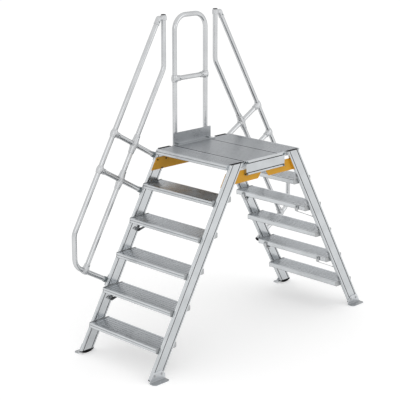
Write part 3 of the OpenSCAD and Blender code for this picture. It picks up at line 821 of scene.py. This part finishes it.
def gusset_bolts():
    """Three bolts of a gusset, by their x and their distance below the deck."""
    places = ((-431 * MM, 89 * MM), (-336 * MM, 90 * MM), (-383 * MM, 164 * MM))
    return together([hex_bolt(Vector((x, inner_y - gusset_t, deck_z - down)), (0, -1, 0), 10 * MM)
                     for x, down in places])


for side, over in SIDES.items():
    places = [across @ over for across in BOTH_FLIGHTS]
    show(f"{side}_gussets_folded", together([(gusset(), 0, places)]), [f"{side}_gussets"],
         [gusset_coat])
    show(f"{side}_gusset_bolts", together([(gusset_bolts(), 0, places)]), [],
         [bolt_dark])
    show(f"{side}_beam_bolts", together([
        (hex_bolt(Vector((-beam_half + 9 * MM, outer_y, deck_z - down)), (0, 1, 0)), 0, places)
        for down in (9 * MM, stringer_depth - 9 * MM)]), [], [zinc])


def top_cap():
    """Plastic lid on the far left stringer, with a step round its top."""
    x = -front_x(stringer_top)
    cut_length = stringer_depth / sin_s
    lid = prism([(0, 0, 3 * MM), (cut_length, 0, 3 * MM), (cut_length, outer_y - inner_y, 3 * MM),
                 (0, outer_y - inner_y, 3 * MM)],
                lambda a, b: (x + a, inner_y + b, stringer_top), Vector((0, 0, cap_top - stringer_top)))
    top = max(lid.faces, key=lambda f: f.calc_center_median().z)
    bmesh.ops.inset_region(lid, faces=[top], thickness=3.0 * MM, depth=0.0)
    bmesh.ops.inset_region(lid, faces=[top], thickness=0.6 * MM, depth=-0.8 * MM)
    soften(lid, 0.8 * MM, 2, 60)
    return lid


def shoe():
    """Rubber shoe of the far left stringer, with a curved sole and two fine ridges round its side."""
    cut_length = stringer_depth / sin_s
    x, half, sag = -front_x(stringer_low), cut_length / 2, 18 * MM
    sole_r = (half * half + sag * sag) / (2 * sag)
    bm = bmesh.new()
    start = bm.verts.new((x, inner_y, sag))
    swing = 2 * math.asin(half / sole_r)
    bmesh.ops.spin(bm, geom=[start], cent=(x + half, inner_y, sole_r), axis=(0, -1, 0), angle=swing,
                   steps=24)
    sole = list(bm.verts)
    if max(v.co.z for v in sole) > sole_r:
        raise ValueError("the sole turned the wrong way")
    sole += [bm.verts.new((x + cut_length, inner_y, stringer_low)),
             bm.verts.new((x, inner_y, stringer_low))]
    bm.faces.new(sole)
    grow(bm, bm.faces[:], Vector((0, outer_y - inner_y, 0)))
    bmesh.ops.recalc_face_normals(bm, faces=bm.faces)
    for out in (-1, 1):
        face = max(bm.faces, key=lambda f: f.calc_center_median().y * out)
        bmesh.ops.inset_region(bm, faces=[face], thickness=3.0 * MM, depth=0.0)
        bmesh.ops.inset_region(bm, faces=[face], thickness=0.8 * MM, depth=-0.9 * MM)
    soften(bm, 0.9 * MM, 2, 60)
    return bm


def floor_bracket():
    """Folded bracket of the far left stringer; the foot has a hole for a floor bolt."""
    t, cut_length = 5 * MM, stringer_depth / sin_s
    high, reach, chamfer, inward = 80 * MM, 65 * MM, 37 * MM, 24 * MM
    bolt_z, bolt_in, hole_out, hole_r = 52 * MM, 30 * MM, 38 * MM, 6.5 * MM
    in_x, out_x = inward + cut_length - front_x(stringer_low), -front_x(t)
    wall, ground = outer_y + t, t
    upright = [Vector((out_x, wall, ground)), Vector((in_x, wall, ground)),
               Vector((in_x, wall, high - chamfer)), Vector((in_x - chamfer, wall, high)),
               Vector((-front_x(high), wall, high))]
    foot = [Vector((out_x, wall, ground)), Vector((in_x, wall, ground)),
            Vector((in_x, outer_y + reach - chamfer / 2, ground)),
            Vector((in_x - chamfer / 2, outer_y + reach, ground)),
            Vector((out_x + chamfer / 2, outer_y + reach, ground)),
            Vector((out_x, outer_y + reach - chamfer / 2, ground))]
    bm = folded_sheet([upright, foot], -t, 5 * MM, 3 * MM, 0.8 * MM)
    hole = turned([(0, -10 * MM), (hole_r, -10 * MM), (hole_r, 20 * MM), (0, 20 * MM)],
                  Vector(((out_x + in_x) / 2, outer_y + hole_out, 0)), (0, 0, 1))
    bm = cut(bm, hole)
    for f in bm.faces:
        # Faces turned up on the foot and its fold take finish 1, the darker copy as painted shade.
        f.material_index = 1 if f.normal.z > 0.3 and f.calc_center_median().z < 10 * MM else 0
    bolts = together([hex_bolt(Vector((a - front_x(bolt_z), wall, bolt_z)), (0, 1, 0), 15 * MM)
                      for a in (bolt_in, cut_length - bolt_in)])
    return bm, bolts


show("stringer_top_caps_lids", together([(top_cap(), 0, ALL_FOUR)]), ["stringer_top_caps"],
     [black])
show("stringer_shoes_rubber", together([(shoe(), 0, ALL_FOUR)]), ["stringer_shoes"],
     [black])
bracket, bracket_bolts = floor_bracket()
show("floor_brackets_folded", together([(bracket, None, ALL_FOUR)]), ["floor_brackets"],
     [sheet, foot_painted_shade])
show("bracket_bolts", together([(bracket_bolts, 0, ALL_FOUR)]), [], [clamp_metal])

# ---- Toe board and hoop ----

low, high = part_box("toe_board")
board_t, board_bolt_x, board_bolt_y = 4 * MM, 185 * MM, 409 * MM
board = folded_sheet([
    [Vector((low.x, high.y, low.z)), Vector((high.x, high.y, low.z)), Vector((high.x, high.y, high.z)),
     Vector((low.x, high.y, high.z))],
    [Vector((low.x, high.y, low.z)), Vector((high.x, high.y, low.z)), Vector((high.x, low.y, low.z)),
     Vector((low.x, low.y, low.z))]], board_t, 6 * MM, 3 * MM, 0.6 * MM)
show("toe_board_folded", board, ["toe_board"], [board_sheet])
show("toe_board_bolts", together([
    hex_bolt(Vector((s * board_bolt_x, board_bolt_y, low.z + board_t)), (0, 0, 1)) for s in (-1, 1)]),
     [], [zinc])

hoop_low, hoop_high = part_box("hoop")
leg_x = hoop_high.x - rail_r
hoop_flat = 56 * MM
hoop_path = [Vector((-leg_x, hoop_y, hoop_low.z)), Vector((-leg_x, hoop_y, hoop_high.z - rail_r)),
             Vector((leg_x, hoop_y, hoop_high.z - rail_r)), Vector((leg_x, hoop_y, hoop_low.z))]
show("hoop_tube", bent_tube(hoop_path, leg_x - hoop_flat), ["hoop"], [tube_metal])
bar_z = sum(v.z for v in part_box("hoop_crossbar")) / 2
bar_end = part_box("hoop_crossbar")[1].x
show("hoop_crossbar_tube",
     bent_tube([Vector((-bar_end, hoop_y, bar_z)), Vector((bar_end, hoop_y, bar_z))], 0),
     ["hoop_crossbar"], [tube_metal])


def sleeve(at, along, half=31 * MM, middle=28.5 * MM, end=24.5 * MM):
    """Barrel-shaped sleeve round a through tube."""
    return turned([(0, -half), (end - 1 * MM, -half), (end, -half + 1.5 * MM),
                   (end + 0.5 * MM, -half + 8 * MM), (middle, -12 * MM), (middle, 12 * MM),
                   (end + 0.5 * MM, half - 8 * MM),
                   (end, half - 1.5 * MM), (end - 1 * MM, half), (0, half)], at, along)


def socket(at, along, reach=58 * MM, root=31 * MM):
    """Socket for a branch tube, flared towards the tube it stands on, with a band round its mouth."""
    return turned([(0, 0), (root, 0), (root - 2 * MM, 22 * MM), (25 * MM, 40 * MM),
                   (24.2 * MM, 48 * MM), (25.8 * MM, 49.5 * MM), (25.8 * MM, reach - 1.2 * MM),
                   (24.6 * MM, reach), (0, reach)], at, along)


def fitting(at, along, branches):
    """Tee: a sleeve on a through tube, with a socket for each branch."""
    return casting([sleeve(at, along)] + [socket(at, b) for b in branches])


def cross(at):
    """Cross that a post runs through, with tapered sockets for the mid rail on both sides."""
    through = turned([(0, -31 * MM), (24 * MM, -31 * MM), (26.5 * MM, -28 * MM), (26.5 * MM, 28 * MM),
                      (24 * MM, 31 * MM), (0, 31 * MM)], at, off_slope)
    ways = [turned([(0, 0), (31 * MM, 0), (30.5 * MM, 12 * MM), (27.5 * MM, 42 * MM),
                    (25 * MM, 64 * MM), (24.5 * MM, 78.8 * MM), (23.3 * MM, 80 * MM),
                    (0, 80 * MM)], at, way)
            for way in (down_slope, -down_slope)]
    return casting([through] + ways)


def set_screw(at, out):
    """Socket screw let into a casting, with its hexagon as a small round recess."""
    return turned([(0, -4 * MM), (5 * MM, -4 * MM), (5 * MM, 1.2 * MM), (4.4 * MM, 1.8 * MM),
                   (2.6 * MM, 1.8 * MM), (2.4 * MM, -0.5 * MM), (0, -0.5 * MM)], at, out, 20)


near_way = Vector((0, -1, 0))
tee_at = Vector((-leg_x, hoop_y, bar_z))
tee = fitting(tee_at, Vector((0, 0, 1)), [Vector((1, 0, 0))])
tee_screws = together([set_screw(tee_at + Vector((46 * MM, -25 * MM, 0)), near_way),
                       set_screw(tee_at + Vector((0, -27.5 * MM, -14 * MM)), near_way)])
show("hoop_tees_cast", together([(tee, 0, BOTH_FLIGHTS)]), ["hoop_tees"],
     [cast_metal], 60)
show("hoop_tee_screws", together([(tee_screws, 0, BOTH_FLIGHTS)]), [], [zinc])

# ---- Clamps ----


def saddle_clamp(length, height, lead=2.5 * MM):
    """Clamp on a face at y = 0 with its tube along z: strap, plastic liner and two bolts."""
    r, wide, ear, bolt_x = 25 * MM, 46 * MM, 8 * MM, 36 * MM
    bore, skin = rail_r + 0.2 * MM, 22.8 * MM
    over = [(r * math.cos(math.radians(a)), height + r * math.sin(math.radians(a)), 0)
            for a in range(15, 180, 15)]
    strap = prism([(-wide, 0, 0), (wide, 0, 0), (wide, ear, 3 * MM), (r + 1 * MM, ear, 5 * MM),
                   (r, height, 0)] + over +
                  [(-r, height, 0), (-r - 1 * MM, ear, 5 * MM), (-wide, ear, 3 * MM)],
                  lambda a, b: (a, b, 0), Vector((0, 0, length)), 1.2 * MM)
    ends = (-2.5 * MM, length + lead)
    liner = turned([(bore, ends[0]), (skin, ends[0]), (skin, ends[1]), (bore, ends[1])],
                   Vector((0, height, 0)), (0, 0, 1), 40, ring=True)
    bolts = together([hex_bolt(Vector((s * bolt_x, ear, length / 2)), (0, 1, 0)) for s in (-1, 1)])
    return strap, liner, bolts


clamp_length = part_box("hoop_clamps")[1].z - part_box("hoop_clamps")[0].z
strap, liner, bolts = saddle_clamp(clamp_length, hoop_y - outer_y)
hoop_places = [Matrix.Translation((s * leg_x, outer_y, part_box("hoop_clamps")[0].z)) for s in (-1, 1)]
show("hoop_clamps_cast", together([(strap, 0, hoop_places), (liner, 1, hoop_places)]), ["hoop_clamps"],
     [clamp_metal, liner_grey])
show("hoop_clamp_bolts", together([(bolts, 0, hoop_places)]), [], [zinc])

# ---- Rails of one flight ----

upright_x = top_x - 101 * MM
elbow_reach = 52 * MM
rail_bend, rail_bend_place, lower_upright = 118 * MM, 937 * MM, 271 * MM


def down_at_x(x, out):
    """Distance down the slope at which a line that runs this far out reaches x."""
    return (x - top_x - out * sin_s) / cos_s


rail_top = on_slope(down_at_x(upright_x + elbow_reach, handrail_out), handrail_out, rail_y)
upright_top = Vector((-upright_x, rail_y, rail_top.z + 24 * MM))
mid_corner = on_slope(down_at_x(upright_x, mid_rail_out), mid_rail_out, rail_y)
rail_corner = on_slope(rail_bend_place, handrail_out, rail_y)
lower_corner = rail_corner - Vector((0, 0, lower_upright))
lower_place = (deck_z - lower_corner.z) * sin_s - (lower_corner.x + top_x) * cos_s
post_places = (60 * MM, 376 * MM)
post_end = -stringer_depth - post_tail
in_socket = 22 * MM
tee_screw, cross_screw, elbow_screw, skin_r = 46 * MM, 66 * MM, 30 * MM, 24.5 * MM
strap, liner, bolts = saddle_clamp(clamp_length, rail_y - outer_y, 14 * MM)


def on_post(place):
    """Transform of a clamp made at the origin onto a post of the far left."""
    at = on_slope(place, -clamp_length, outer_y)
    turn = Matrix((-down_slope, along_y, off_slope)).transposed().to_4x4()
    return Matrix.Translation(at) @ turn


for flight, across in FLIGHTS.items():
    rail = bent_tube([rail_top, rail_corner, lower_corner,
                      on_slope(lower_place, post_end, rail_y)], rail_bend)
    show(f"{flight}_handrail_tube", together([(rail, 0, (across,))]), [f"{flight}_handrail"],
         [tube_metal])
    mids = [bent_tube([upright_top, mid_corner,
                       on_slope(post_places[0] - in_socket, mid_rail_out, rail_y)], rail_bend)]
    for start, stop in zip(post_places, (post_places[1], lower_place)):
        mids.append(bent_tube([on_slope(start + in_socket, mid_rail_out, rail_y),
                               on_slope(stop - in_socket, mid_rail_out, rail_y)], 0))
    show(f"{flight}_mid_rail_tubes", together([(m, 0, (across,)) for m in mids]),
         [f"{flight}_mid_rail"], [tube_metal])
    posts = [bent_tube([on_slope(place, post_end, rail_y),
                        on_slope(place, handrail_out - in_socket, rail_y)], 0)
             for place in post_places]
    show(f"{flight}_rail_posts_tubes", together([(p, 0, (across,)) for p in posts]),
         [f"{flight}_rail_posts"], [tube_metal])

    cast, screws = [], []
    for place in post_places:
        high_at, mid_at = (on_slope(place, out, rail_y) for out in (handrail_out, mid_rail_out))
        cast += [fitting(high_at, down_slope, [-off_slope]), cross(mid_at)]
        screws.append(set_screw(high_at - off_slope * tee_screw + near_way * 25 * MM, near_way))
        for down in (-cross_screw, cross_screw):
            screws.append(set_screw(mid_at + down_slope * down + near_way * skin_r, near_way))
    low_at = on_slope(lower_place, mid_rail_out, rail_y)
    cast.append(fitting(low_at, off_slope, [-down_slope]))
    screws.append(set_screw(low_at - down_slope * tee_screw + near_way * 25 * MM, near_way))
    ring = Vector((-upright_x, rail_y, rail_top.z))
    cast.append(casting([
        turned([(0, -19 * MM), (25.5 * MM, -19 * MM), (27 * MM, -17 * MM), (27 * MM, 17 * MM),
                (25.5 * MM, 19 * MM), (0, 19 * MM)], ring, (0, 0, 1)),
        turned([(0, 0), (20 * MM, 0), (20 * MM, elbow_reach), (0, elbow_reach)], ring, rail_top - ring),
        turned([(0, -20 * MM), (12 * MM, -18 * MM), (20 * MM, -11 * MM), (23.5 * MM, 0),
                (23 * MM, 20 * MM), (23 * MM, 44 * MM), (25 * MM, 46 * MM), (25 * MM, 54 * MM),
                (23.5 * MM, 55 * MM), (0, 55 * MM)], rail_top, down_slope)], 1.6 * MM, 3))
    screws.append(set_screw(rail_top + down_slope * elbow_screw + near_way * skin_r, near_way))
    show(f"{flight}_rail_fittings_cast", together([(c, 0, (across,)) for c in cast]),
         [f"{flight}_rail_fittings"], [cast_metal], 60)
    show(f"{flight}_fitting_screws", together([(s, 0, (across,)) for s in screws]), [],
         [zinc])
    places = [across @ on_post(p) for p in (*post_places, lower_place)]
    show(f"{flight}_rail_clamps_cast", together([(strap, 0, places), (liner, 1, places)]),
         [f"{flight}_rail_clamps"], [clamp_metal, liner_grey])
    show(f"{flight}_clamp_bolts", together([(bolts, 0, places)]), [], [zinc])

# ---- Tube plugs ----

plug_profile = [(0, 0.2 * MM), (19.8 * MM, 0.2 * MM), (20 * MM, 1 * MM), (20 * MM, 4 * MM),
                (18.5 * MM, 5.6 * MM), (14 * MM, 6.2 * MM), (0, 6.2 * MM)]
plugs = [turned(plug_profile, upright_top, (0, 0, 1), 40)]
for place in (*post_places, lower_place):
    plugs.append(turned(plug_profile, on_slope(place, post_end, rail_y), -off_slope, 40))
plugs.append(turned(plug_profile, Vector((-leg_x, hoop_y, hoop_low.z)), (0, 0, -1), 40))
show("tube_plugs_domed", together([(p, 0, BOTH_FLIGHTS) for p in plugs]), ["tube_plugs"],
     [black])
